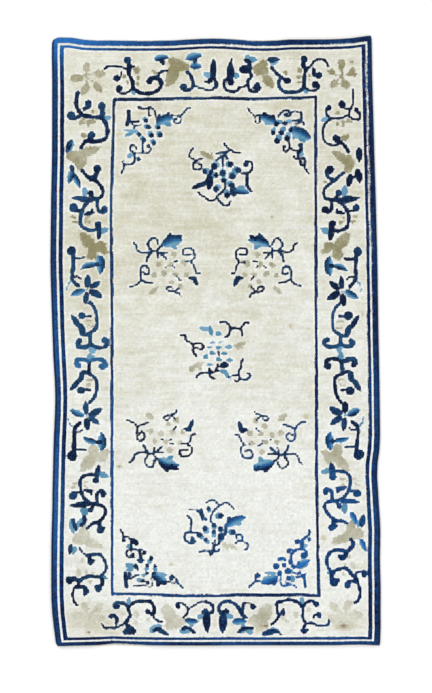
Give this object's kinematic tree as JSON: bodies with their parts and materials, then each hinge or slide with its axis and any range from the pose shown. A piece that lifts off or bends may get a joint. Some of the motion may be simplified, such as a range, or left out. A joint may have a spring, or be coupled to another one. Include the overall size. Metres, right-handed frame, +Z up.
{
  "type": "peking rug",
  "caption": "Small rectangular hand-knotted wool rug that lies flat, with a cream ground, blue grape sprays and a scrolling flower border.",
  "frame": {"origin": "middle of the rug's box at floor level, under its flat back", "axes": "+Z up through the pile, +Y along the length towards the end that is up in the picture, +X across the width to the picture's right"},
  "size_m": [0.695, 1.285, 0.0105],
  "materials": {
    "wool_pile": "short cut wool pile, cream with blue and camel figures"
  },
  "bodies": {
    "root": {"rug": "wool_pile"}
  },
  "joints": []
}
